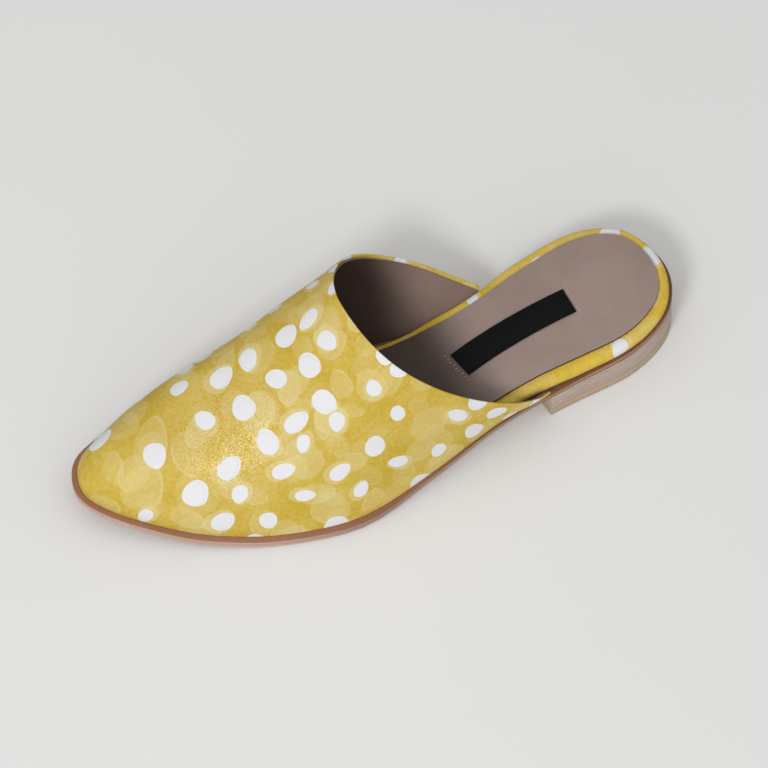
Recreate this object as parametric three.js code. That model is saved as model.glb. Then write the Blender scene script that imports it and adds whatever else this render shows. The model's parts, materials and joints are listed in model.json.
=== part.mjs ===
// Left slide mule: a closed almond toe, no back, a wrapped footbed and a low stacked heel.
// Millimetres. +X runs to the toe, +Y to the outer (lateral) side of the foot, +Z up, floor at z = 0.
import * as THREE from "three";

// Driving sizes
const BACK_X = -1; // back of the outsole
const TOE_X = 266; // tip of the outsole
const GAP = 0.3; // clearance between pieces that lie on each other
const WALL = 1.8; // leather and lining of the upper together
const CREST_WALL = 2.1; // the same wall measured straight down through the sloping crest
const WING_END = {
  lateral: { footX: 74.5, topX: 71 }, // the upper's slanted ends, at the front of the heel
  medial: { footX: 77.5, topX: 73.5 },
};
const HEEL_BREAST_X = { lateral: 70, medial: 77 }; // front face of the heel, square to the heel's own axis
const HEEL_FLARE = 0.7; // how far the heel spreads past the sole's edge at the floor
const TOP_PIECE_HEIGHT = 3.8; // wearing layer under the heel
const SOCK_THICKNESS = 1.2; // leather sock on the footbed
const LABEL = { length: 54.5, width: 12.5, thickness: 0.6, x: 72.5, y: 4.5, turn: 6 };
const GROOVE_START_X = 105; // the edge groove begins at the waist
const GROOVE_FULL_X = 150; // and is at its full depth from here to the toe

// Facets: steps along half the sole outline, from toe to topline, up a wing's end, from there to the
// crest, and along the label
const OUTLINE_STEPS = 52;
const VAMP_STEPS = 26;
const WING_STEPS = 3;
const WALL_STEPS = 14;
const LABEL_STEPS = 8;
const WALL_CROWDING = 1.6; // lines lie closer together near the sole than near the crest
const CORNERS_PER_MM = 1e4; // corners that agree to this fineness are one corner
const HALVINGS = 40; // halvings of a search along the topline

function table(columns, ...rows) {
  return rows.map((row) => Object.fromEntries(columns.map((name, i) => [name, row[i]])));
}

// Sole sections from the back of the heel: edges on both sides, height of the underside over the
// floor, thickness, and the ledge left outside the upper.
const SOLE = table(
  ["x", "lateral", "medial", "underside", "thickness", "ledge"],
  [-1, 0, 0, 17.2, 3.6, 1.5],
  [10, 22.3, -23, 16.6, 3.6, 1.5],
  [30, 31, -29.7, 15.4, 3.6, 1.2],
  [60, 33.2, -27, 13.5, 3.2, 0.4],
  [95, 36.5, -21.5, 11.2, 2.6, 0.6],
  [130, 43.2, -28.5, 4.8, 3.2, 0.9],
  [165, 48.5, -42, 0, 4.3, 1.9],
  [195, 42.5, -43.5, 0, 4.4, 1.9],
  [225, 29.5, -39, 2, 4.2, 1.9],
  [248, 13.5, -32, 6.2, 4.0, 1.9],
  [259, 3.5, -26, 9.0, 3.8, 1.9],
  [266, -10.5, -10.5, 11.0, 3.7, 1.9],
);

// Footbed sections, each with a lateral and a medial size: how far the foot of its wrapped side stands
// back from the sole edge, how far that side swells out over it, and how far in the sock ends. It
// narrows at the wing ends to pass inside the upper.
const FOOTBED = table(
  ["x", "backLateral", "backMedial", "swellLateral", "swellMedial", "sockLateral", "sockMedial", "height"],
  [-1, 2.6, 2.6, 0.6, 0.6, 6.8, 6.8, 5.8],
  [12, 1.3, 1.3, 0.9, 1.2, 5.2, 5.4, 5.8],
  [30, 0.8, 0.9, 0.9, 1.2, 4.7, 5.2, 5.8],
  [55, 1.3, 1.0, 0.9, 1.2, 5.6, 5.4, 5.8],
  [72, 3.2, 2.2, 1.2, 1.4, 6.8, 5.6, 5.8],
  [78, 3.3, 3.0, 1.2, 2.0, 6.9, 5.6, 5.8],
  [95, 3.6, 3.3, 1.2, 2.4, 7.0, 6.0, 5.6],
  [112, 4.4, 5.8, 1.2, 1.2, 7.6, 8.2, 5.2],
  [130, 5.4, 7.4, 1.2, 1.0, 8.4, 10.2, 4.8],
  [165, 6.4, 6.4, 1.2, 1.2, 9.4, 9.4, 4.0],
  [195, 6.4, 6.4, 1.2, 1.2, 9.4, 9.4, 3.4],
  [248, 6.2, 6.2, 1.2, 1.2, 9.2, 9.2, 2.6],
  [266, 6.0, 6.0, 1.2, 1.2, 9.0, 9.0, 2.4],
);

// Last sections from the wing ends to the toe: crest height over the sole, crest place across, and
// the outward lean in degrees of each wall where it leaves the sole.
const LAST = table(
  ["x", "crest", "across", "leanLateral", "leanMedial"],
  [70, 94.5, -4, 27, 40],
  [79, 94, -5.8, 36, 44],
  [95, 92.5, -9, 19.5, 52],
  [111, 89, -12, 0.5, 49],
  [147, 67.7, -11.6, -14.5, 25.5],
  [180, 50.7, -14.2, -18, -1],
  [208, 39.6, -15.3, -12.5, -2.5],
  [232, 30, -12.5, 0, -2],
  [250, 21.5, -10.5, 5, -12],
  [260, 13.5, -10.3, 4, -8],
  [264.5, 8.6, -10.4, 2, -4],
  [266, 4.5, -10.5, 0, 0],
);

// How far each wall rises before it turns in, as a share of the crest's height, with one line for
// both walls at the tip of the toe, and how flat each wall comes to the crest
const RISE = { lateral: 0.58, medial: 0.755, tip: 0.58 };
const FLATNESS = { lateral: 0.56, medial: 0.5 };

// Height of the topline over the floor on each side, seen from the side. Both sides meet at the crest,
// and the last row carries the line on above the toe, clear of the leather.
const TOPLINE = table(
  ["x", "lateral", "medial"],
  [70, 20.4, 15.9],
  [84, 28.6, 25.8],
  [98, 35.7, 35.2],
  [114, 45.7, 45.4],
  [130, 59.2, 59.2],
  [146, 75, 75],
  [270, 230, 230],
);

// Side of the outsole from bottom to top: share of its thickness and inset. The groove parts the
// forefoot edge into two bands.
const SOLE_EDGE = table(
  ["level", "inset", "groove"],
  [0, 0.5, 0],
  [0.1, 0, 0],
  [0.4, 0, 0],
  [0.48, 0, 0.5],
  [0.56, 0, 0],
  [0.92, 0, 0],
  [1, 0.3, 0],
);

// Rounded side of the wrapped footbed from bottom to top: share of its height, share of its swell, and
// how far the top edge rounds in
const RIM_EDGE = table(
  ["level", "swell", "round"],
  [0, 0, 0],
  [0.2, 0.65, 0],
  [0.5, 1, 0],
  [0.78, 0.9, 0.25],
  [0.93, 0.45, 1.1],
  [1, 0, 2.4],
);

// Slightly eased edges of the heel layers: share of the height and inset
const LIFT_EDGE = table(["level", "inset"], [0, 0.25], [0.1, 0], [0.9, 0], [1, 0.25]);
const PLAIN_EDGE = table(["level", "inset"], [0, 0], [1, 0]);

// Cubic through knots and values with the given slopes
function hermite(knots, values, slopes, at) {
  let i = 0;
  while (i < knots.length - 2 && at > knots[i + 1]) i += 1;
  const span = knots[i + 1] - knots[i];
  const t = (at - knots[i]) / span;
  const fromStart = (1 + 2 * t) * (1 - t) ** 2 * values[i] + t * (1 - t) ** 2 * span * slopes[i];
  const fromEnd = t * t * (3 - 2 * t) * values[i + 1] + t * t * (t - 1) * span * slopes[i + 1];
  return fromStart + fromEnd;
}

// A curve through the knots that runs on smoothly past each of them
function smoothCurve(knots, values) {
  const spans = knots.slice(1).map((knot, i) => knot - knots[i]);
  const rates = spans.map((span, i) => (values[i + 1] - values[i]) / span);
  const slopes = knots.map((_, i) => {
    if (i === 0) return rates[0];
    if (i === spans.length) return rates[i - 1];
    return (rates[i - 1] * spans[i] + rates[i] * spans[i - 1]) / (spans[i - 1] + spans[i]);
  });
  return (at) => hermite(knots, values, slopes, at);
}

// A curve through the knots that never overshoots them, so that level stretches stay level
function steadyCurve(knots, values) {
  const spans = knots.slice(1).map((knot, i) => knot - knots[i]);
  const rates = spans.map((span, i) => (values[i + 1] - values[i]) / span);
  const slopes = knots.map((_, i) => {
    if (i === 0) return rates[0];
    if (i === spans.length) return rates[i - 1];
    if (rates[i - 1] * rates[i] <= 0) return 0;
    return (2 * rates[i - 1] * rates[i]) / (rates[i - 1] + rates[i]);
  });
  return (at) => hermite(knots, values, slopes, THREE.MathUtils.clamp(at, knots[0], knots.at(-1)));
}

const column = (rows, name) => rows.map((row) => row[name]);
const along = (rows, name) => steadyCurve(column(rows, "x"), column(rows, name));
const underside = along(SOLE, "underside");
const thickness = along(SOLE, "thickness");
const ledge = along(SOLE, "ledge");
const rimBack = { lateral: along(FOOTBED, "backLateral"), medial: along(FOOTBED, "backMedial") };
const rimSwell = { lateral: along(FOOTBED, "swellLateral"), medial: along(FOOTBED, "swellMedial") };
const sockInset = { lateral: along(FOOTBED, "sockLateral"), medial: along(FOOTBED, "sockMedial") };
const footbedHeight = along(FOOTBED, "height");
const soleTop = (x) => underside(x) + thickness(x);
const footbedBottom = (x) => soleTop(x) + GAP;
const footbedTop = (x) => footbedBottom(x) + footbedHeight(x);
const sockBottom = (x) => footbedTop(x) + GAP;
const sockTop = (x) => sockBottom(x) + SOCK_THICKNESS;

// The outline is a function of an angle: 0 at the back of the heel, pi at the toe tip, positive
// along the lateral side and negative along the medial side, so that both ends come out round.
const HALF_LENGTH = (TOE_X - BACK_X) / 2;
const angleOf = (x) => Math.acos(THREE.MathUtils.clamp(1 - (x - BACK_X) / HALF_LENGTH, -1, 1));
const stationOf = (angle) => BACK_X + HALF_LENGTH * (1 - Math.cos(angle));

function outlineCurve() {
  const lateral = SOLE.map((row) => ({ angle: angleOf(row.x), y: row.lateral }));
  const medial = SOLE.map((row) => ({ angle: -angleOf(row.x), y: row.medial })).slice(1, -1).reverse();
  const round = [...medial, ...lateral];
  const before = lateral.slice(-2).map((p) => ({ angle: p.angle - 2 * Math.PI, y: p.y }));
  const after = medial.slice(0, 2).map((p) => ({ angle: p.angle + 2 * Math.PI, y: p.y }));
  const knots = [...before, ...round, ...after];
  return smoothCurve(column(knots, "angle"), column(knots, "y"));
}
const outlineY = outlineCurve();

// Point of the outline at an angle, moved inwards square to the edge
function edgePoint(angle, inset) {
  const delta = 1e-3;
  const ahead = new THREE.Vector2(stationOf(angle + delta), outlineY(angle + delta));
  const behind = new THREE.Vector2(stationOf(angle - delta), outlineY(angle - delta));
  const heading = ahead.sub(behind).normalize();
  return new THREE.Vector2(stationOf(angle) + heading.y * inset, outlineY(angle) - heading.x * inset);
}

// Closed geometry from triangles: equal corners are shared and collapsed triangles are dropped
function closedGeometry(triangles) {
  const indexOf = new Map();
  const positions = [];
  const indices = [];
  const corner = (point) => {
    const key = point.toArray().map((value) => Math.round(value * CORNERS_PER_MM)).join(" ");
    if (!indexOf.has(key)) {
      indexOf.set(key, positions.length / 3);
      positions.push(...point.toArray());
    }
    return indexOf.get(key);
  };
  for (const triangle of triangles) {
    const [a, b, c] = triangle.map(corner);
    if (a !== b && b !== c && c !== a) indices.push(a, b, c);
  }
  const geometry = new THREE.BufferGeometry();
  geometry.setAttribute("position", new THREE.Float32BufferAttribute(positions, 3));
  geometry.setIndex(indices);
  geometry.computeVertexNormals();
  return geometry;
}

const quad = (a, b, c, d) => [
  [a, b, c],
  [a, c, d],
];

// One level of a sole piece: rungs across the shoe from heel to toe, each with a lateral and a
// medial end.
function level(stations, insetAt, heightAt) {
  const end = (side, angle) => {
    const inset = insetAt(stationOf(angle), side);
    const edge = edgePoint(side === "lateral" ? angle : -angle, inset);
    return new THREE.Vector3(edge.x, edge.y, heightAt(edge.x));
  };
  return stations.map(({ lateral, medial }) => ({
    lateral: end("lateral", lateral),
    medial: end("medial", medial),
  }));
}

// A solid from levels stacked upwards
function stack(levels) {
  const triangles = [];
  const bottom = levels[0];
  const top = levels.at(-1);
  for (let j = 0; j + 1 < bottom.length; j += 1) {
    const under = [bottom[j], bottom[j + 1]];
    const over = [top[j], top[j + 1]];
    triangles.push(...quad(under[0].lateral, under[1].lateral, under[1].medial, under[0].medial));
    triangles.push(...quad(over[0].lateral, over[0].medial, over[1].medial, over[1].lateral));
  }
  for (let k = 0; k + 1 < levels.length; k += 1) {
    const [low, high] = [levels[k], levels[k + 1]];
    for (let j = 0; j + 1 < low.length; j += 1) {
      triangles.push(...quad(low[j].lateral, high[j].lateral, high[j + 1].lateral, low[j + 1].lateral));
      triangles.push(...quad(low[j].medial, low[j + 1].medial, high[j + 1].medial, high[j].medial));
    }
    const last = low.length - 1;
    triangles.push(...quad(low[0].lateral, low[0].medial, high[0].medial, high[0].lateral));
    triangles.push(...quad(low[last].lateral, high[last].lateral, high[last].medial, low[last].medial));
  }
  return closedGeometry(triangles);
}

function steps(count, from, to) {
  return Array.from({ length: count + 1 }, (_, i) => THREE.MathUtils.lerp(from, to, i / count));
}

const wholeSole = steps(OUTLINE_STEPS, 0, Math.PI).map((angle) => ({ lateral: angle, medial: angle }));
const heelOnly = steps(OUTLINE_STEPS / 2, 0, 1).map((share) => ({
  lateral: share * angleOf(HEEL_BREAST_X.lateral),
  medial: share * angleOf(HEEL_BREAST_X.medial),
}));

// A layer between two heights, with its edge drawn in by a profile
function layer(stations, profile, insetAt, bottomAt, topAt) {
  const levels = profile.map((row) => {
    const heightAt = (x) => THREE.MathUtils.lerp(bottomAt(x), topAt(x), row.level);
    return level(stations, (x, side) => insetAt(x, side, row), heightAt);
  });
  return stack(levels);
}

// The edge groove deepens from the waist into the forefoot
const grooveShare = (x) => THREE.MathUtils.smoothstep(x, GROOVE_START_X, GROOVE_FULL_X);

function outsole() {
  const insetAt = (x, side, row) => row.inset + row.groove * grooveShare(x);
  return layer(wholeSole, SOLE_EDGE, insetAt, underside, soleTop);
}

// The heel's sides run on from the sole's edge and spread towards the floor
function heelLayer(bottomAt, topAt) {
  const insetAt = (x, side, row) => {
    const height = THREE.MathUtils.lerp(bottomAt(x), topAt(x), row.level);
    return row.inset - HEEL_FLARE * (1 - height / underside(x));
  };
  return layer(heelOnly, LIFT_EDGE, insetAt, bottomAt, topAt);
}

function heelBlock() {
  return heelLayer(() => TOP_PIECE_HEIGHT + GAP, (x) => underside(x) - GAP);
}

function heelTopPiece() {
  return heelLayer(() => 0, () => TOP_PIECE_HEIGHT);
}

function footbed() {
  const insetAt = (x, side, row) => rimBack[side](x) - rimSwell[side](x) * row.swell + row.round;
  return layer(wholeSole, RIM_EDGE, insetAt, footbedBottom, footbedTop);
}

function insoleSock() {
  return layer(wholeSole, PLAIN_EDGE, (x, side) => sockInset[side](x), sockBottom, sockTop);
}

// Last surface. The station is an outline angle from pi at the toe back to the wing ends; share runs
// from 0 at the sole edge of a side to 1 at the crest.
const lastAngles = LAST.map((row) => angleOf(row.x));
const lastColumn = (name) => smoothCurve(lastAngles, column(LAST, name));
const crestHeight = lastColumn("crest");
const crestAcross = lastColumn("across");
const lean = { lateral: lastColumn("leanLateral"), medial: lastColumn("leanMedial") };
const toplineColumn = (name) => smoothCurve(column(TOPLINE, "x"), column(TOPLINE, name));
const toplineHeight = { lateral: toplineColumn("lateral"), medial: toplineColumn("medial") };

function lastPoint(angle, side, share, isLining) {
  const sign = side === "lateral" ? 1 : -1;
  const x = stationOf(angle);
  const inset = ledge(x) + (isLining ? WALL : 0);
  const edge = edgePoint(sign * angle, inset);
  const other = edgePoint(-sign * angle, inset);
  const foot = soleTop(edge.x) + GAP;
  const height = crestHeight(angle) - (isLining ? CREST_WALL : 0);
  const across = crestAcross(angle);
  const tilt = THREE.MathUtils.degToRad(lean[side](angle));
  const rise = RISE[angle < Math.PI ? side : "tip"] * height;
  const start = new THREE.Vector3(edge.x, edge.y, foot);
  const end = new THREE.Vector3((edge.x + other.x) / 2, across, foot + height);
  const outward = sign * Math.sin(tilt) * rise;
  const startPull = new THREE.Vector3(start.x, start.y + outward, foot + Math.cos(tilt) * rise);
  const endPull = new THREE.Vector3(end.x, across + FLATNESS[side] * (edge.y - across), end.z);
  return new THREE.CubicBezierCurve3(start, startPull, endPull, end).getPoint(share);
}

// Place between two ends, found by halving, where a test turns from false to true
function turningPlace(falseEnd, trueEnd, isTrue) {
  let [below, above] = [falseEnd, trueEnd];
  for (let i = 0; i < HALVINGS; i += 1) {
    const middle = (below + above) / 2;
    if (isTrue(middle)) above = middle;
    else below = middle;
  }
  return below;
}

// Lines of one side from the sole edge to the crest, each from the toe to the wing's slanted end or, over
// the corner of the wing, to the topline. At the tip of the toe the lines of both sides meet in pairs.
function sideLines(side, isLining) {
  const point = (angle, share) => lastPoint(angle, side, share, isLining);
  const isOverTopline = (angle, share) => {
    const { x, z } = point(angle, share);
    return z > toplineHeight[side](x);
  };
  const { footX, topX } = WING_END[side];
  const corner = turningPlace(0, 1, (share) => isOverTopline(angleOf(topX), share));
  const wing = steps(WING_STEPS, 0, 1).map((rise) => ({
    share: rise * corner,
    end: angleOf(THREE.MathUtils.lerp(footX, topX, rise)),
  }));
  const wall = steps(WALL_STEPS, 0, 1).slice(1).map((rise) => {
    const share = THREE.MathUtils.lerp(corner, 1, rise ** WALL_CROWDING);
    const end = turningPlace(Math.PI, angleOf(topX), (angle) => isOverTopline(angle, share));
    return { share, end };
  });
  const lines = [...wing, ...wall];
  return lines.map(({ share, end }, k) => {
    const tipShare = (k / (lines.length - 1)) ** WALL_CROWDING;
    return steps(VAMP_STEPS, 0, 1).map((way) => {
      const angle = THREE.MathUtils.lerp(Math.PI, end, way);
      return point(angle, THREE.MathUtils.lerp(tipShare, share, way));
    });
  });
}

// Lines taken round from the lateral sole edge over the crest, which both sides share, to the medial one
function vampLines(isLining) {
  return [...sideLines("lateral", isLining), ...sideLines("medial", isLining).slice(0, -1).reverse()];
}

function upper() {
  const outside = vampLines(false);
  const lining = vampLines(true);
  const triangles = [];
  for (let k = 0; k + 1 < outside.length; k += 1) {
    for (let i = 0; i < VAMP_STEPS; i += 1) {
      const [a, b] = [outside[k], outside[k + 1]];
      const [c, d] = [lining[k], lining[k + 1]];
      triangles.push(...quad(a[i], a[i + 1], b[i + 1], b[i]));
      triangles.push(...quad(c[i], d[i], d[i + 1], c[i + 1]));
    }
    const top = VAMP_STEPS;
    triangles.push(...quad(outside[k][top], lining[k][top], lining[k + 1][top], outside[k + 1][top]));
  }
  for (let i = 0; i < VAMP_STEPS; i += 1) {
    const [a, c] = [outside[0], lining[0]];
    const [b, d] = [outside.at(-1), lining.at(-1)];
    triangles.push(...quad(a[i], c[i], c[i + 1], a[i + 1]));
    triangles.push(...quad(b[i], b[i + 1], d[i + 1], d[i]));
  }
  return closedGeometry(triangles);
}

// Plain woven label lying on the sock and following its slope
function label() {
  const turn = THREE.MathUtils.degToRad(LABEL.turn);
  const rung = (place, lift) => {
    const end = (across) => {
      const flat = new THREE.Vector2(place, across).rotateAround(new THREE.Vector2(), turn);
      const x = LABEL.x + flat.x;
      return new THREE.Vector3(x, LABEL.y + flat.y, sockTop(x) + GAP + lift);
    };
    return { lateral: end(LABEL.width / 2), medial: end(-LABEL.width / 2) };
  };
  const stations = steps(LABEL_STEPS, -LABEL.length / 2, LABEL.length / 2);
  return stack([0, LABEL.thickness].map((lift) => stations.map((place) => rung(place, lift))));
}

function piece(name, geometry, color, roughness, metalness = 0) {
  const mesh = new THREE.Mesh(geometry, new THREE.MeshStandardMaterial({ color, roughness, metalness }));
  mesh.name = name;
  return mesh;
}

const mule = new THREE.Group();
mule.add(
  piece("outsole", outsole(), 0x96694b, 0.55),
  piece("heel_block", heelBlock(), 0xaa9687, 0.6),
  piece("heel_top_piece", heelTopPiece(), 0xc8aa8c, 0.65),
  piece("footbed", footbed(), 0xcdaf37, 0.4, 0.1),
  piece("insole_sock", insoleSock(), 0x96827a, 0.6),
  piece("upper", upper(), 0xcdaf37, 0.4, 0.1),
  piece("label", label(), 0x121418, 0.8),
);

// The origin is under the middle of the shoe, on the floor
const bounds = new THREE.Box3().setFromObject(mule);
const middle = bounds.getCenter(new THREE.Vector3());
mule.position.set(-middle.x, -middle.y, -bounds.min.z);

export default mule;
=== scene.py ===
import json
import math
import random

import bpy
import numpy as np
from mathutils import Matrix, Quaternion, Vector

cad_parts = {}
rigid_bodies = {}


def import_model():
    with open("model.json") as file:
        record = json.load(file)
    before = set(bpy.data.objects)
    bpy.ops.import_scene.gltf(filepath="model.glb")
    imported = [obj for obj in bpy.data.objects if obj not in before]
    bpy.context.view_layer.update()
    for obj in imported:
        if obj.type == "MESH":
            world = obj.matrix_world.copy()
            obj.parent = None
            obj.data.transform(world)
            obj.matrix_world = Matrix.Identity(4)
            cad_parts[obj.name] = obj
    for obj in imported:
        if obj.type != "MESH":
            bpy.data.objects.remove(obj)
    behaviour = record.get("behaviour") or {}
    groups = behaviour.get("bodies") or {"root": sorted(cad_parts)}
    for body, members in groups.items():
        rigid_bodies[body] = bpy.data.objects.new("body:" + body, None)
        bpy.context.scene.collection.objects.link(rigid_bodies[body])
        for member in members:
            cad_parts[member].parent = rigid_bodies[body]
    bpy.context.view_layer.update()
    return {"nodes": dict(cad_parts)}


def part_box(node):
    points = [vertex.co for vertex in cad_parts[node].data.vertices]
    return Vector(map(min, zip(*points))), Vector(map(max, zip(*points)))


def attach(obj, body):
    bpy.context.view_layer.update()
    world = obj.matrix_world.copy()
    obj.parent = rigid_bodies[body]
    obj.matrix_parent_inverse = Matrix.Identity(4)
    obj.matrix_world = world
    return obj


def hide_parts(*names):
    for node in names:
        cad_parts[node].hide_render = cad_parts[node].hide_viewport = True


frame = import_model()


# Outsole
# The full-length sole of thin leather, with a toe spring, a waist and a rise to the heel's seat.
# Its edge is trimmed, inked brown and burnished, and painted shade darkens it beside the ball.
# Along the forefoot a fine groove parts its two layers, and the edge stands out a little, as a welt does.
MM = 0.001
MERGE = 0.001 * MM
FLAT_PAIR = math.radians(40)
SQUARE_PAIR = math.radians(80)
SOLE_SMOOTH = math.radians(32)
WAIST_X = -35 * MM
BALL_X = 15 * MM
TOE_X = 75 * MM
EDGE_COLUMN = 0.8 * MM
WELT_SWELL = 0.7 * MM
WELT_UPRIGHT = 0.8
UNDERSIDE = (0.03, 0.005)
SEAT_LINE = (0.36, 0.2)
SEAT_LINE_INK = 0.85
GROOVE_LEVEL = 0.48
GROOVE_FADES = (0.12, 0.03)
GROOVE_INK = 0.5
LEDGE_LEVEL = 0.85
LEDGE_BLUR = 0.05
SEAT_GROOVE_LEVEL = 0.88
SEAT_GROOVE_FADES = (0.18, 0.05)
SEAT_GROOVE_INK = 0.7
SOLE_FIBRE = (1.0, 1.0, 9.0)


def colour(red, green, blue):
    """A colour as a screen shows it, turned into the linear values that a shader takes."""
    shown = np.array((red, green, blue)) / 255
    linear = np.where(shown > 0.04045, ((shown + 0.055) / 1.055) ** 2.4, shown / 12.92)
    return (*(float(part) for part in linear), 1.0)


class Wire:
    """One output in a finish's nodes. Sums on it add Math nodes, and node() adds any other node."""

    def __init__(self, tree, socket):
        self.tree = tree
        self.socket = socket

    def node(self, kind, settings, sockets, out=0):
        made = self.tree.nodes.new("ShaderNode" + kind)
        for name, value in settings.items():
            setattr(made, name, value)
        self.plug(made, sockets)
        return Wire(self.tree, made.outputs[out])

    def plug(self, made, sockets):
        for name, value in sockets.items():
            if isinstance(value, Wire):
                self.tree.links.new(value.socket, made.inputs[name])
            else:
                made.inputs[name].default_value = value

    def out(self, name):
        return Wire(self.tree, self.socket.node.outputs[name])

    def maths(self, operation, *terms):
        return self.node("Math", {"operation": operation}, dict(enumerate(terms)))

    def __add__(self, other):
        return self.maths("ADD", self, other)

    def __radd__(self, other):
        return self.maths("ADD", other, self)

    def __sub__(self, other):
        return self.maths("SUBTRACT", self, other)

    def __rsub__(self, other):
        return self.maths("SUBTRACT", other, self)

    def __mul__(self, other):
        return self.maths("MULTIPLY", self, other)

    def __rmul__(self, other):
        return self.maths("MULTIPLY", other, self)

    def __truediv__(self, other):
        return self.maths("DIVIDE", self, other)

    def __pow__(self, other):
        return self.maths("POWER", self, other)

    def __abs__(self):
        return self.maths("ABSOLUTE", self)

    def fade(self, low, high):
        """0 below low, 1 above high, and a soft change in between. With low over high it falls."""
        sockets = {"Value": self, "From Min": low, "From Max": high}
        return self.node("MapRange", {"interpolation_type": "SMOOTHSTEP"}, sockets)

    def mix(self, first, second):
        """The first colour where this is 0 and the second where it is 1."""
        return self.node("Mix", {"data_type": "RGBA"}, {0: self, 6: first, 7: second}, out=2)

    def vector(self, operation, *terms, out=0):
        return self.node("VectorMath", {"operation": operation}, dict(enumerate((self, *terms))), out)

    def axis(self, name):
        return self.node("SeparateXYZ", {}, {"Vector": self}, out=name)

    def turn(self, angle, centre=(0.0, 0.0, 0.0)):
        """These coordinates turned about an upright axis."""
        sockets = {"Vector": self, "Center": centre, "Angle": angle}
        return self.node("VectorRotate", {"rotation_type": "Z_AXIS"}, sockets)

    def noise(self, size, detail=2.0):
        """Soft noise from 0 to 1 on these coordinates, its blots about as wide as size."""
        return self.node("TexNoise", {}, {"Vector": self, "Scale": 1 / size, "Detail": detail})

    def cells(self, size):
        """Grains on these coordinates, about as wide as size, which rise from each grain's middle."""
        return self.node("TexVoronoi", {}, {"Vector": self, "Scale": 1 / size})

    def bump(self, depth, normal=None):
        """A normal from this height, where 1 stands depth over 0."""
        sockets = {"Height": self, "Distance": depth, "Strength": 1.0}
        if normal:
            sockets["Normal"] = normal
        return self.node("Bump", {}, sockets)


def finish(name, **same_all_over):
    """A new finish: its material, its shader and the Object coordinates that its patterns lie on."""
    material = bpy.data.materials.new(name)
    material.use_nodes = True
    tree = material.node_tree
    shader = tree.nodes["Principled BSDF"]
    for socket, value in same_all_over.items():
        shader.inputs[socket.replace("_", " ")].default_value = value
    return material, shader, Wire(tree, tree.nodes.new("ShaderNodeTexCoord").outputs["Object"])


def take(piece):
    """Selects one piece alone and makes it the active one."""
    bpy.ops.object.select_all(action="DESELECT")
    piece.select_set(True)
    bpy.context.view_layer.objects.active = piece


def open_piece(piece):
    """Takes one piece and opens it for editing, all of it selected."""
    take(piece)
    bpy.ops.object.mode_set(mode="EDIT")
    bpy.ops.mesh.select_mode(type="FACE")
    bpy.ops.mesh.select_all(action="SELECT")


def close_piece():
    bpy.ops.object.mode_set(mode="OBJECT")


def select_faces(piece, wanted):
    """In an open piece, selects the faces that wanted says yes to, and no others."""
    bpy.ops.mesh.select_all(action="DESELECT")
    close_piece()
    for face in piece.data.polygons:
        face.select = bool(wanted(face))
    bpy.ops.object.mode_set(mode="EDIT")


def copy_of(node, name):
    """A solid's shape as a piece of its own, its loose triangles merged and paired into quads."""
    piece = bpy.data.objects.new(name, frame["nodes"][node].data.copy())
    bpy.context.collection.objects.link(piece)
    piece.data.materials.clear()
    open_piece(piece)
    bpy.ops.mesh.customdata_custom_splitnormals_clear()
    bpy.ops.mesh.remove_doubles(threshold=MERGE)
    bpy.ops.mesh.tris_convert_to_quads(face_threshold=FLAT_PAIR, shape_threshold=SQUARE_PAIR)
    close_piece()
    return piece


def modify(piece, kind, **settings):
    """Adds one modifier to a piece and applies it."""
    take(piece)
    modifier = piece.modifiers.new(kind.lower(), kind)
    for name, value in settings.items():
        setattr(modifier, name, value)
    bpy.ops.object.modifier_apply(modifier=modifier.name)


def smooth(piece, angle):
    take(piece)
    bpy.ops.object.shade_smooth_by_angle(angle=angle)


def sole_leather():
    material, shader, place = finish("sole_leather", Specular_IOR_Level=0.4)
    level = place.node("Attribute", {"attribute_name": "level"}, {}, out="Fac")
    fore = place.axis("X").fade(WAIST_X, BALL_X)
    # Painted shade: the edge and its ledge go darker from the toe back to the ball.
    shade_by_ball = fore * place.axis("X").fade(TOE_X, BALL_X)
    fibre = place.vector("MULTIPLY", SOLE_FIBRE).noise(3 * MM, detail=4.0)
    blots = place.noise(14 * MM)

    heel_edge = blots.mix(colour(172, 124, 90), colour(186, 138, 104))
    heel_ledge = blots.mix(colour(126, 84, 58), colour(140, 96, 68))
    toe_edge = blots.mix(colour(192, 160, 145), colour(206, 175, 160))
    toe_ledge = blots.mix(colour(150, 104, 76), colour(166, 118, 88))
    shaded_ball_edge = colour(166, 134, 114)
    shaded_ball_ledge = colour(138, 96, 69)
    edge = fore.mix(heel_edge, shade_by_ball.mix(toe_edge, shaded_ball_edge))
    ledge = fore.mix(heel_ledge, shade_by_ball.mix(toe_ledge, shaded_ball_ledge))
    on_ledge = level.fade(LEDGE_LEVEL - LEDGE_BLUR, LEDGE_LEVEL + LEDGE_BLUR)
    trimmed = on_ledge.mix(edge, ledge)

    groove = abs(level - GROOVE_LEVEL).fade(*GROOVE_FADES) * fore * GROOVE_INK
    seat_groove = abs(level - SEAT_GROOVE_LEVEL).fade(*SEAT_GROOVE_FADES) * (1 - fore) * SEAT_GROOVE_INK
    seat_line = level.fade(*SEAT_LINE) * (1 - fore) * SEAT_LINE_INK
    dark = groove.maths("MAXIMUM", groove, seat_groove + seat_line)
    inked = dark.mix(trimmed, colour(84, 54, 40))
    streaked = (fibre.fade(0.35, 0.75) * 0.25).mix(inked, colour(132, 94, 74))

    underside = level.fade(*UNDERSIDE)
    worn = place.noise(30 * MM, detail=5.0).mix(colour(166, 124, 96), colour(186, 146, 118))
    grain = place.noise(0.5 * MM).bump(0.02 * MM)
    surface = {
        "Base Color": underside.mix(streaked, worn),
        "Roughness": 0.5 + fibre * 0.2 + underside * 0.15,
        "Normal": fibre.bump(0.06 * MM, grain),
    }
    place.plug(shader, surface)
    return material


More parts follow.
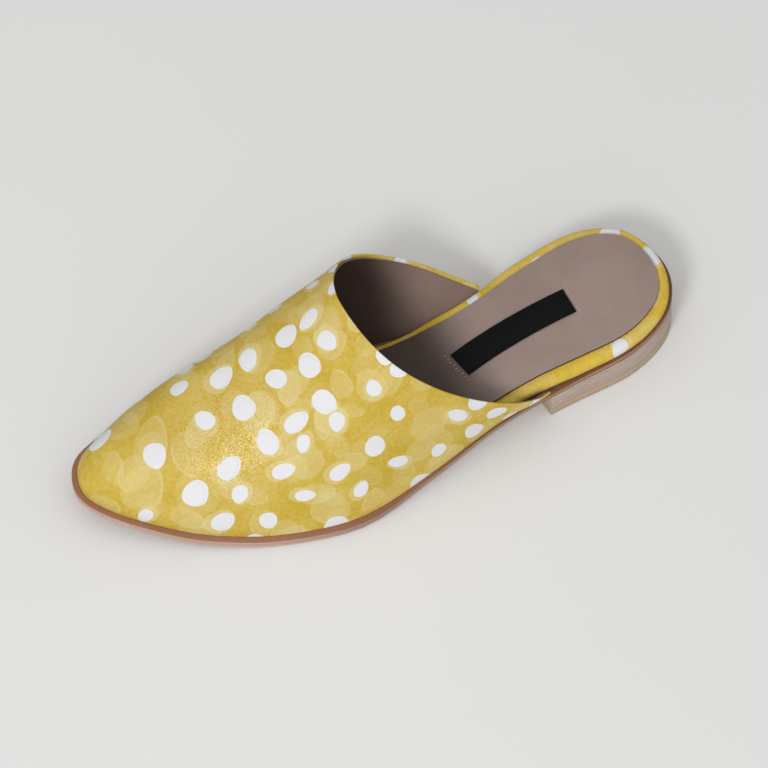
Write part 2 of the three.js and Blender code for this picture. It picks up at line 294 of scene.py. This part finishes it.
outsole = copy_of("outsole", "outsole_leather")
corners = np.array([corner.co for corner in outsole.data.vertices])
levels = []
for corner in outsole.data.vertices:
    gaps = np.linalg.norm(corners[:, :2] - corners[corner.index, :2], axis=1)
    column = corners[gaps < EDGE_COLUMN, 2]
    thick = column.max() - column.min()
    if thick > EDGE_COLUMN:
        levels.append((corner.co.z - column.min()) / thick)
    else:
        levels.append(float(corner.normal.z > 0))
level_values = outsole.data.attributes.new("level", "FLOAT", "POINT")
level_values.data.foreach_set("value", levels)
welt = outsole.vertex_groups.new(name="welt")
for corner in outsole.data.vertices:
    upright = max(0.0, 1 - (corner.normal.z / WELT_UPRIGHT) ** 2)
    along = np.clip((corner.co.x - WAIST_X) / (BALL_X - WAIST_X), 0, 1)
    welt.add([corner.index], upright * float(along), "REPLACE")
modify(outsole, "DISPLACE", vertex_group="welt", strength=WELT_SWELL, mid_level=0.0)
smooth(outsole, SOLE_SMOOTH)
outsole.data.materials.append(sole_leather())
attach(outsole, "root")
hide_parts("outsole")


# Heel block
# The low heel under the seat: six lifts of leather board, glued in a stack and sanded flush.
# The lifts show as level streaks, with a hair's breadth of glue line between them.
LIFTS = 6
GLUE_LINE = 0.12 * MM
GLUE_DEPTH = 0.10 * MM
GLUE_FADES = (0.09, 0.03)
HEEL_EASE = 0.2 * MM
EASED_CORNER = math.radians(50)
HARD_SMOOTH = math.radians(35)
BOARD_FIBRE = (1.0, 1.0, 16.0)
WARM_FOOT = 3 * MM
heel_low, heel_high = (Vector(corner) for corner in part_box("heel_block"))
LIFT_HEIGHT = (heel_high.z - heel_low.z) / LIFTS


def heel_board():
    material, shader, place = finish("heel_board", Specular_IOR_Level=0.3)
    height = (place.axis("Z") - heel_low.z) / LIFT_HEIGHT
    lift = height.maths("FLOOR", height)
    tone = place.node("TexWhiteNoise", {"noise_dimensions": "1D"}, {"W": lift})
    streak = place.vector("MULTIPLY", BOARD_FIBRE).noise(5 * MM, detail=5.0)
    board = tone.mix(colour(168, 150, 136), colour(180, 163, 149))
    streaked = streak.fade(0.35, 0.7).mix(board, colour(198, 182, 168))
    warm = place.axis("Z").fade(heel_low.z + WARM_FOOT, heel_low.z)
    warmed = (warm * 0.4).mix(streaked, colour(184, 162, 139))
    glue = abs(height - height.maths("ROUND", height)).fade(*GLUE_FADES)
    surface = {
        "Base Color": (glue * 0.35).mix(warmed, colour(120, 96, 82)),
        "Roughness": 0.62 + streak * 0.15,
        "Normal": streak.bump(0.08 * MM),
    }
    place.plug(shader, surface)
    return material


def ease(piece, width, segments):
    """Rounds off a piece's sharp corners."""
    modify(piece, "BEVEL", width=width, segments=segments, limit_method="ANGLE", angle_limit=EASED_CORNER)


heel = copy_of("heel_block", "heel_lifts")
open_piece(heel)
for lift in range(1, LIFTS):
    glue_z = heel_low.z + lift * LIFT_HEIGHT
    for cut_z in (glue_z - GLUE_LINE, glue_z + GLUE_LINE, glue_z):
        bpy.ops.mesh.select_all(action="SELECT")
        bpy.ops.mesh.bisect(plane_co=(0, 0, cut_z), plane_no=(0, 0, 1))
    bpy.ops.transform.shrink_fatten(value=-GLUE_DEPTH)
close_piece()
ease(heel, HEEL_EASE, segments=2)
smooth(heel, HARD_SMOOTH)
heel.data.materials.append(heel_board())
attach(heel, "root")
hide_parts("heel_block")


# Heel top piece
# The wearing layer that the heel stands on: a slab of tan rubber, glued under the last lift and sanded
# with it. Its edge is a little eased, and its face has the fine speckle of moulded sheet.
TOP_PIECE_EASE = 0.25 * MM
SPECKLE = 0.5 * MM
RUBBER_SANDING = (1.0, 1.0, 6.0)


def tan_rubber():
    material, shader, place = finish("tan_rubber", Specular_IOR_Level=0.3)
    speckle = place.cells(SPECKLE)
    blots = place.noise(9 * MM, detail=4.0)
    tan = blots.mix(colour(180, 159, 137), colour(193, 172, 148))
    sanded = place.vector("MULTIPLY", RUBBER_SANDING).noise(2 * MM, detail=3.0)
    surface = {
        "Base Color": (speckle * 0.3).mix(tan, colour(160, 138, 116)),
        "Roughness": 0.7 + sanded * 0.15,
        "Normal": sanded.bump(0.06 * MM),
    }
    place.plug(shader, surface)
    return material


top_piece = copy_of("heel_top_piece", "heel_wear_layer")
ease(top_piece, TOP_PIECE_EASE, segments=3)
smooth(top_piece, HARD_SMOOTH)
top_piece.data.materials.append(tan_rubber())
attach(top_piece, "root")
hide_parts("heel_top_piece")


# Footbed
# A board with soft padding, wrapped in the same printed leather as the upper, which shows as a rounded rim
# round the heel and is glued down on the outsole.
# The print: white ovals over pale see-through discs on mustard leather with a pearly grain.
# On the toe, where the lamp's highlight falls, a painted highlight of pale glints and darker grains lies
# over the print.
MARK_SCATTER = 0.55
MARK_WIDEST = 0.92
MARK_VARIES = 0.34
MARK_WOBBLE = 0.16
EGG = 0.14
OVALS = {"cell": 16.5 * MM, "shift": (0.0, 0.0, 0.0), "size": (3.7 * MM, 5.9 * MM)}
OVAL_EDGE = (1.03, 0.98)
HALO_GROWTH = 1.35
HALO_OFF = 0.2
HALO_EDGE = (1.03, 0.96)
HALO_MISSES = (0.3, 0.35)
SECOND_COAT_EDGE = (0.07, 0.02)
SECOND_COAT_MISSES = (0.55, 0.6)
DISC_LAYERS = [
    {"cell": 26 * MM, "shift": (0.013, 0.041, 0.0), "size": (6.5 * MM, 9.5 * MM)},
    {"cell": 22 * MM, "shift": (0.127, 0.083, 0.0), "size": (5.5 * MM, 8.0 * MM)},
    {"cell": 31 * MM, "shift": (0.271, 0.019, 0.0), "size": (8.0 * MM, 11.5 * MM)},
    {"cell": 18 * MM, "shift": (0.391, 0.157, 0.0), "size": (4.5 * MM, 7.0 * MM)},
]
DISC_EDGE = (1.04, 0.95)
DISC_MISSES = (0.12, 0.22)
DISC_FAINTEST = 0.15
DISC_VARIES = 0.14
CRESCENT = 0.09
CRESCENT_EDGE = (0.94, 1.02)
CRESCENT_MISSES = (0.2, 0.4)
CRESCENT_ADDS = 0.2
MOTTLE_SPREAD = (0.74, 1.26)
FLAKE = 0.38 * MM
FLAKE_TILT = 0.26
HIGHLIGHT_MIDDLE = (72 * MM, 4 * MM, 0.0)
HIGHLIGHT_REACH = (36 * MM, 10 * MM)
WRAP_SWELL = 0.25 * MM
WRAP_SWELL_SIZE = 9 * MM
DOWNWARD = -0.8
SOFT_SMOOTH = math.radians(60)


def marks(print_place, cell, shift, size):
    """Scattered marks: a point's place along and across its nearest mark, 1 at the mark's edge, and
    the mark's chances, three numbers from 0 to 1 that make each mark different."""
    moved = print_place.vector("ADD", shift)
    cells = moved.node("TexVoronoi", {"voronoi_dimensions": "2D"},
                       {"Vector": moved, "Scale": 1 / cell, "Randomness": MARK_SCATTER})
    chances = cells.out("Color")
    from_centre = moved.vector("SUBTRACT", cells.out("Position"))
    turned = from_centre.turn(chances.axis("X") * math.tau)
    shortest, longest = size
    length = chances.axis("Y") * (longest - shortest) + shortest
    width = length * (MARK_WIDEST - chances.axis("Z") * MARK_VARIES)
    return turned.axis("X") / length, turned.axis("Y") / width, chances


def egg(along, across, wobble):
    """How far out a point of a mark lies: 0 at its middle and 1 at its edge, one end a little slimmer."""
    across = across * (1 + along * EGG)
    return (along * along + across * across) ** 0.5 + wobble


def printed_leather(name, dark, light, disc_share, bare_share):
    """Printed mustard leather: the discs are thinned to disc_share, and bare_share of the ovals left out."""
    material, shader, place = finish(name, Specular_IOR_Level=0.12)
    flat = place.node("UVMap", {"uv_map": "print"}, {})
    cloudy = flat.noise(16 * MM, detail=4.0)
    mottle = flat.noise(1.6 * MM, detail=3.0)
    fine = flat.noise(0.8 * MM, detail=3.0)
    wobble = (flat.noise(5 * MM, detail=1.0) - 0.5) * MARK_WOBBLE
    mustard = (cloudy + mottle).fade(*MOTTLE_SPREAD).mix(colour(*dark), colour(*light))
    grained = (fine.fade(0.4, 0.7) * 0.4).mix(mustard, colour(190, 154, 44))

    pale = None
    for layer in DISC_LAYERS:
        along, across, chances = marks(flat, **layer)
        inside = egg(along, across, wobble).fade(*DISC_EDGE) * chances.axis("X").fade(*DISC_MISSES)
        crescent = egg(along + CRESCENT, across - CRESCENT, wobble).fade(*CRESCENT_EDGE)
        crescent = crescent * chances.axis("Z").fade(*CRESCENT_MISSES)
        strength = inside * (chances.axis("Y") * DISC_VARIES + DISC_FAINTEST + crescent * CRESCENT_ADDS)
        pale = strength if pale is None else 1 - (1 - pale) * (1 - strength)
    discs = (pale * disc_share).mix(grained, colour(226, 213, 160))

    along, across, chances = marks(flat, **OVALS)
    shown = chances.axis("X").fade(bare_share, bare_share + 0.01)
    white = egg(along, across, wobble).fade(*OVAL_EDGE) * shown
    off_print = egg(along + HALO_OFF, across - HALO_OFF, wobble)
    halo = (off_print / HALO_GROWTH).fade(*HALO_EDGE) * shown * chances.axis("Z").fade(*HALO_MISSES)
    haloed = (halo * 0.4).mix(discs, colour(226, 213, 164))
    second_coat = abs(off_print - 1).fade(*SECOND_COAT_EDGE) * chances.axis("Y").fade(*SECOND_COAT_MISSES)
    paint = (second_coat * 0.2).mix(colour(227, 227, 229), colour(188, 180, 152))

    # Painted highlight: in a patch on the toe, pale glinting flakes and darker grains are painted into the
    # colour; the glints are also a little metallic and glossier.
    flake = place.cells(FLAKE).out("Color")
    from_highlight = place.vector("MULTIPLY", (1.0, 1.0, 0.0)).vector("DISTANCE", HIGHLIGHT_MIDDLE, out="Value")
    pearl_and_highlight = from_highlight.fade(*HIGHLIGHT_REACH) * (1 - white)
    glint = flake.axis("Z").fade(0.55, 0.7) * pearl_and_highlight
    grain_shade = flake.axis("X").fade(0.6, 0.9) * pearl_and_highlight
    print_and_grain_shade = (grain_shade * 0.5).mix(white.mix(haloed, paint), colour(188, 142, 40))
    lean = flake.vector("SUBTRACT", (0.5, 0.5, 0.5))
    lean = lean.node("VectorMath", {"operation": "SCALE"}, {0: lean, "Scale": (1 - white) * FLAKE_TILT})
    facing = fine.bump(0.05 * MM).vector("ADD", lean)
    surface = {
        "Base Color": (glint * 0.3).mix(print_and_grain_shade, colour(244, 228, 176)),
        "Roughness": 0.6 - glint * 0.25,
        "Metallic": glint * 0.16,
        "Normal": facing.vector("NORMALIZE"),
    }
    place.plug(shader, surface)
    return material


def lay_print(piece):
    """Unwraps an open piece's faces for the print, one unit of the map to a metre of leather."""
    bpy.ops.mesh.select_all(action="SELECT")
    piece.data.uv_layers.new(name="print")
    bpy.ops.uv.unwrap(method="ANGLE_BASED", margin=0.0)
    close_piece()
    spots = piece.data.uv_layers["print"].data
    flat_area = 0.0
    for face in piece.data.polygons:
        ring = [spots[loop].uv for loop in face.loop_indices]
        flat_area += abs(sum(a.cross(b) for a, b in zip(ring, ring[1:] + ring[:1]))) / 2
    spread = math.sqrt(sum(face.area for face in piece.data.polygons) / flat_area)
    for spot in spots:
        spot.uv = spot.uv * spread


def subdivide(piece, levels):
    modify(piece, "SUBSURF", levels=levels, render_levels=levels)


footbed = copy_of("footbed", "footbed_wrap")
open_piece(footbed)
select_faces(footbed, lambda face: face.normal.z < DOWNWARD)
bpy.ops.mesh.region_to_loop()
bpy.ops.mesh.mark_seam(clear=False)
bpy.ops.mesh.select_mode(type="FACE")
lay_print(footbed)
subdivide(footbed, 1)
swell = bpy.data.textures.new("wrap_swell", "CLOUDS")
swell.noise_scale = WRAP_SWELL_SIZE
modify(footbed, "DISPLACE", texture=swell, texture_coords="LOCAL", strength=WRAP_SWELL, mid_level=0.5)
smooth(footbed, SOFT_SMOOTH)
# Painted light: the rim's leather is a lighter, more saturated copy of the vamp's yellow, for the rim that
# faces away from the lamp.
footbed.data.materials.append(printed_leather("wrap_leather_painted_lighter", (210, 175, 52), (224, 193, 81), 0.6, 0.5))
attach(footbed, "root")
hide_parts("footbed")


# Insole sock
# A skin of smooth taupe leather glued on the padding, cut a little smaller so that the wrapped rim shows
# round it. Its cut edge is only eased, and is coloured dark, partly as raw edge and partly as painted shade
# of the gap beside the rim, so it shows as a thin dark line there. Painted shade turns the taupe dark brown
# towards the toe, under the vamp.
SOCK_EASE = 0.4 * MM
STEEP = 0.6
PORE = 0.9 * MM
SOCK_SHADE_STRETCH = (-50 * MM, -20 * MM)
SHADE_STRENGTH = 0.9
FLAT_SMOOTH = math.radians(40)


def taupe_leather(name, dark, light, shade_stretch):
    """Smooth leather in two close tones, with painted shade that turns it dark brown along x over the given
    stretch.
    """
    material, shader, place = finish(name, Specular_IOR_Level=0.35)
    clouds = place.noise(18 * MM, detail=4.0)
    pores = place.cells(PORE)
    fine = place.noise(0.6 * MM, detail=2.0)
    taupe = clouds.fade(0.3, 0.7).mix(colour(*dark), colour(*light))
    # Painted shade: the taupe goes over to dark brown towards the toe, where the upper shades the inside.
    shaded = (place.axis("X").fade(*shade_stretch) * SHADE_STRENGTH).mix(taupe, colour(48, 29, 20))
    in_grain = colour(*(shade * 0.88 for shade in dark))
    surface = {
        "Base Color": (fine * 0.2).mix(shaded, in_grain),
        "Roughness": 0.5 + fine * 0.15,
        "Normal": pores.bump(0.04 * MM, fine.bump(0.03 * MM)),
    }
    place.plug(shader, surface)
    return material


def cut_edge(name, dark, light):
    """The raw fibres that show where leather is cut."""
    material, shader, place = finish(name, Specular_IOR_Level=0.2)
    fibre = place.noise(0.7 * MM, detail=3.0)
    surface = {
        "Base Color": fibre.mix(colour(*dark), colour(*light)),
        "Roughness": 0.8 + fibre * 0.1,
        "Normal": fibre.bump(0.05 * MM),
    }
    place.plug(shader, surface)
    return material


sock = copy_of("insole_sock", "insole_sock_leather")
sock.data.materials.append(taupe_leather("taupe_leather", (152, 132, 123), (159, 139, 131), SOCK_SHADE_STRETCH))
# The sock's cut edge is coloured dark: partly raw leather edge, partly painted shade of the gap beside the
# rim.
sock.data.materials.append(cut_edge("sock_edge_and_gap_shade", (62, 40, 30), (88, 60, 46)))
for face in sock.data.polygons:
    face.material_index = int(abs(face.normal.z) < STEEP)
ease(sock, SOCK_EASE, segments=3)
smooth(sock, FLAT_SMOOTH)
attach(sock, "root")
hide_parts("insole_sock")


# Label
# A plain strip of black woven ribbon on the sock under the heel, its short ends turned under, laid with a
# slight bow. It is sewn down by hand at both ends, with a row of small pale stitches just outside it.
LABEL_TURN = math.radians(6)
LABEL_LENGTH = 54.5 * MM
LABEL_WIDTH = 12.5 * MM
LABEL_BOW = 1.35 * MM
LABEL_ARC = LABEL_LENGTH ** 2 / (8 * LABEL_BOW)
LABEL_EASE = 0.15 * MM
SELVEDGE = 0.9 * MM
THREAD_PITCH = 0.55 * MM
STITCHES = 9
STITCH_ROW = LABEL_WIDTH + 2.5 * MM
STITCH_OUT = 1.7 * MM
STITCH_LENGTH = 0.8 * MM
STITCH_THICK = 0.34 * MM
STITCH_FLATNESS = 0.7
STITCH_SINK = 0.08 * MM
STITCH_STRAY = 0.3 * MM
STITCH_SWING = math.radians(25)
STITCH_DROP = 20 * MM
UP = Vector((0, 0, 1))
label_low, label_high = (Vector(corner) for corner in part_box("label"))
label_middle = (label_low + label_high) / 2
label_along = Vector((math.cos(LABEL_TURN), math.sin(LABEL_TURN), 0))
label_across = Vector((-label_along.y, label_along.x, 0))
by_hand = random.Random(5)


def black_ribbon():
    material, shader, place = finish("black_ribbon", Specular_IOR_Level=0.15)
    from_middle = place.turn(-LABEL_TURN, label_middle).vector("SUBTRACT", label_middle)
    bow = from_middle.axis("X") ** 2.0 / (2 * LABEL_ARC) - LABEL_BOW
    aside = from_middle.axis("Y") - bow
    warp = from_middle.axis("X") * (math.tau / THREAD_PITCH)
    weft = aside * (math.tau / THREAD_PITCH)
    weave = warp.maths("SINE", warp) * weft.maths("SINE", weft) * 0.5 + 0.5
    selvedge = abs(aside).fade(LABEL_WIDTH / 2 - SELVEDGE, LABEL_WIDTH / 2 - SELVEDGE * 0.7)
    thread = weave.mix(colour(6, 6, 8), colour(18, 19, 21))
    surface = {
        "Base Color": (selvedge * 0.6).mix(thread, colour(9, 9, 11)),
        "Roughness": 0.85 - weave * 0.15,
        "Normal": (weave + selvedge * 0.6).bump(0.08 * MM),
    }
    place.plug(shader, surface)
    return material


def pale_thread():
    material, shader, place = finish("pale_thread", Specular_IOR_Level=0.3, Roughness=0.7)
    twist = place.noise(0.3 * MM)
    place.plug(shader, {"Base Color": twist.mix(colour(176, 160, 150), colour(206, 192, 182))})
    return material


def thread_loop():
    """One stitch: an arch of thread whose two feet go down into the leather."""
    bpy.ops.object.select_all(action="DESELECT")
    bpy.ops.mesh.primitive_torus_add(major_segments=14, minor_segments=6, major_radius=STITCH_LENGTH / 2,
                                     minor_radius=STITCH_THICK / 2, rotation=(math.pi / 2, 0, 0))
    bpy.ops.object.transform_apply(location=True, rotation=True, scale=True)
    loop = bpy.context.object
    open_piece(loop)
    bpy.ops.mesh.bisect(plane_co=(0, 0, 0), plane_no=(0, 0, 1), use_fill=True, clear_inner=True)
    bpy.ops.mesh.select_all(action="SELECT")
    bpy.ops.transform.resize(value=(1, 1, STITCH_FLATNESS), center_override=(0, 0, 0))
    close_piece()
    return loop


label = copy_of("label", "label_ribbon")
bpy.ops.object.select_all(action="DESELECT")
bpy.ops.object.empty_add(location=label_middle, rotation=(0, 0, LABEL_TURN))
bend_axis = bpy.context.object
modify(label, "SIMPLE_DEFORM", deform_method="BEND", deform_axis="Z", angle=LABEL_LENGTH / LABEL_ARC,
       origin=bend_axis)
bpy.data.objects.remove(bend_axis)
open_piece(label)
bpy.ops.transform.translate(value=-label_across * LABEL_BOW)
close_piece()
ease(label, LABEL_EASE, segments=2)
smooth(label, FLAT_SMOOTH)
label.data.materials.append(black_ribbon())
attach(label, "root")
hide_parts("label")

first_stitch = thread_loop()
arc_centre = label_middle + label_across * (LABEL_ARC - LABEL_BOW)
stitches = []
for end in (-1, 1):
    for count in range(STITCHES):
        out = LABEL_LENGTH / 2 + STITCH_OUT + by_hand.uniform(-STITCH_STRAY, STITCH_STRAY)
        aside = STITCH_ROW * (count / (STITCHES - 1) - 0.5) + by_hand.uniform(-STITCH_STRAY, STITCH_STRAY)
        round_arc = end * out / LABEL_ARC
        outward = label_along * math.sin(round_arc) - label_across * math.cos(round_arc)
        spot = arc_centre + outward * (LABEL_ARC - aside)
        _, where, up, _ = sock.ray_cast((spot.x, spot.y, label_high.z + STITCH_DROP), -UP)
        stitch = first_stitch.copy()
        stitch.data = first_stitch.data.copy()
        bpy.context.collection.objects.link(stitch)
        swing = Quaternion(UP, LABEL_TURN + by_hand.uniform(-STITCH_SWING, STITCH_SWING))
        stitch.rotation_mode = "QUATERNION"
        stitch.rotation_quaternion = UP.rotation_difference(up) @ swing
        stitch.location = where - up * STITCH_SINK
        stitches.append(stitch)
bpy.data.objects.remove(first_stitch)
label_stitches = stitches[0]
take(label_stitches)
for stitch in stitches:
    stitch.select_set(True)
bpy.ops.object.join()
bpy.ops.object.transform_apply(location=True, rotation=True, scale=True)
label_stitches.name = "label_stitches"
smooth(label_stitches, SOFT_SMOOTH)
label_stitches.data.materials.append(pale_thread())
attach(label_stitches, "root")


# Lining
# The inside of the upper: the same taupe leather, cut a little below the topline and glued to the vamp.
# Its cut edge shows as a thin line under the vamp's folded edge, and painted shade turns the lining dark
# brown towards the toe.
LINING_SET_IN = 1.0 * MM
LINING_THICK = 0.5 * MM
LASTING_MARGIN = 1.5 * MM
LINING_SHADE_STRETCH = (-34 * MM, -10 * MM)
LINING_SMOOTH = math.radians(50)
SHARP_EDGE = math.radians(30)
SLIVER = 0.1 * MM


def skin_of(node, name, seed):
    """One skin of a hollow solid, from the face that seed rates highest out to the solid's sharp edges."""
    piece = copy_of(node, name)
    open_piece(piece)
    bpy.ops.mesh.select_mode(type="EDGE")
    bpy.ops.mesh.select_all(action="DESELECT")
    bpy.ops.mesh.edges_select_sharp(sharpness=SHARP_EDGE)
    bpy.ops.mesh.mark_seam(clear=False)
    bpy.ops.mesh.select_mode(type="FACE")
    close_piece()
    start = max(piece.data.polygons, key=seed).index
    bpy.ops.object.mode_set(mode="EDIT")
    select_faces(piece, lambda face: face.index == start)
    bpy.ops.mesh.select_linked(delimit={"SEAM"})
    bpy.ops.mesh.select_all(action="INVERT")
    bpy.ops.mesh.delete(type="FACE")
    bpy.ops.mesh.select_all(action="SELECT")
    bpy.ops.mesh.mark_seam(clear=True)
    bpy.ops.mesh.remove_doubles(threshold=SLIVER)
    return piece


def over_sole(point):
    """How high a point lies over the outsole."""
    hit, where, _, _ = outsole.ray_cast(point, -UP)
    return point.z - where.z if hit else math.inf


lining = skin_of("upper", "lining", lambda face: -face.center.z * face.normal.z)
bpy.ops.mesh.inset(thickness=LINING_SET_IN, depth=0.0, use_boundary=True)
close_piece()
kept = {
    face.index for face in lining.data.polygons
    if face.select or over_sole(face.center) < LASTING_MARGIN
}
bpy.ops.object.mode_set(mode="EDIT")
select_faces(lining, lambda face: face.index not in kept)
bpy.ops.mesh.delete(type="FACE")
close_piece()
subdivide(lining, 2)
# Painted shade: the lining's taupe goes over to dark brown towards the toe, inside the upper.
lining_leather = taupe_leather("lining_leather", (132, 110, 100), (142, 120, 110), LINING_SHADE_STRETCH)
lining.data.materials.append(lining_leather)
lining.data.materials.append(cut_edge("lining_edge", (128, 106, 96), (146, 124, 114)))
modify(lining, "SOLIDIFY", thickness=LINING_THICK, offset=-1.0, material_offset_rim=1)
smooth(lining, LINING_SMOOTH)
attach(lining, "root")


# Vamp
# The outside of the upper: one piece of the printed leather from wing to wing round a closed almond toe.
# It is lasted over the board and glued to the outsole, and its topline is folded over to the inside.
VAMP_THICK = 0.95 * MM
FOLD_ROUND = 0.4 * MM
FOLD_STARTS = 1.5 * MM

vamp = skin_of("upper", "vamp", lambda face: face.center.z * face.normal.z)
lay_print(vamp)
subdivide(vamp, 2)
modify(vamp, "SOLIDIFY", thickness=VAMP_THICK, offset=-1.0)
open_piece(vamp)
bpy.ops.mesh.select_mode(type="EDGE")
bpy.ops.mesh.select_all(action="DESELECT")
bpy.ops.mesh.edges_select_sharp(sharpness=EASED_CORNER)
close_piece()
corners = [corner.co for corner in vamp.data.vertices]
for edge in vamp.data.edges:
    edge.select = edge.select and min(over_sole(corners[end]) for end in edge.vertices) > FOLD_STARTS
bpy.ops.object.mode_set(mode="EDIT")
bpy.ops.transform.edge_bevelweight(value=1.0)
close_piece()
modify(vamp, "BEVEL", width=FOLD_ROUND, segments=3, limit_method="WEIGHT")
smooth(vamp, SOFT_SMOOTH)
vamp.data.materials.append(printed_leather("printed_leather", (198, 168, 58), (212, 186, 92), 1.0, 0.12))
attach(vamp, "root")
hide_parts("upper")


# Floor, light and camera
# A plain pale floor in a pale tent, brightest overhead and on the camera's side, with one soft lamp at
# the toe. The camera keeps the photo's angle and looks at the middle of the shoe.
FLOOR_SIZE = 6.0
FLOOR_DROP = 0.2 * MM
LAMP_TOWARDS = Vector((0.55, 0.48, 0.68)).normalized()
LAMP_DISTANCE = 2.2
LAMP_SIZE = 0.5
LAMP_POWER = 17.0
TENT_TOWARDS = (0.10, 0.35, 0.93)
TENT_EDGE = (-0.2, 0.95)
TENT_LIGHT = 0.85
DARK_SIDE_LIGHT = 0.13
WHITE = (1.0, 1.0, 1.0, 1.0)
CAMERA_PLACE = Vector((0.3825, 0.7829, 1.4225))
CAMERA_AIM = Vector((0.0, 0.0, 0.022))
FRAME_WIDTH = 0.318


def pale_floor():
    material, shader, place = finish("pale_floor", Specular_IOR_Level=0.2, Roughness=0.8)
    clouds = place.noise(0.25, detail=3.0)
    place.plug(shader, {"Base Color": clouds.mix(colour(229, 229, 228), colour(232, 232, 231))})
    return material


bpy.ops.object.select_all(action="DESELECT")
bpy.ops.mesh.primitive_plane_add(size=FLOOR_SIZE, location=(0, 0, -FLOOR_DROP))
floor = bpy.context.object
floor.name = "floor"
floor.data.materials.append(pale_floor())

bpy.ops.object.light_add(type="AREA", location=LAMP_TOWARDS * LAMP_DISTANCE)
lamp = bpy.context.object
lamp.rotation_euler = LAMP_TOWARDS.to_track_quat("Z", "Y").to_euler()
lamp.data.shape = "DISK"
lamp.data.size = LAMP_SIZE
lamp.data.energy = LAMP_POWER

world = bpy.data.worlds.new("light_tent")
world.use_nodes = True
light_tree = world.node_tree
direction = Wire(light_tree, light_tree.nodes.new("ShaderNodeTexCoord").outputs["Generated"])
in_tent = direction.vector("DOT_PRODUCT", TENT_TOWARDS, out="Value").fade(*TENT_EDGE)
strength = DARK_SIDE_LIGHT + in_tent * (TENT_LIGHT - DARK_SIDE_LIGHT)
direction.plug(light_tree.nodes["Background"], {"Color": WHITE, "Strength": strength})
bpy.context.scene.world = world
bpy.context.scene.view_settings.view_transform = "Standard"

bpy.ops.object.camera_add(location=CAMERA_PLACE)
camera = bpy.context.object
away = CAMERA_PLACE - CAMERA_AIM
camera.rotation_euler = away.to_track_quat("Z", "Y").to_euler()
camera.data.lens = camera.data.sensor_width * away.length / FRAME_WIDTH
bpy.context.scene.camera = camera
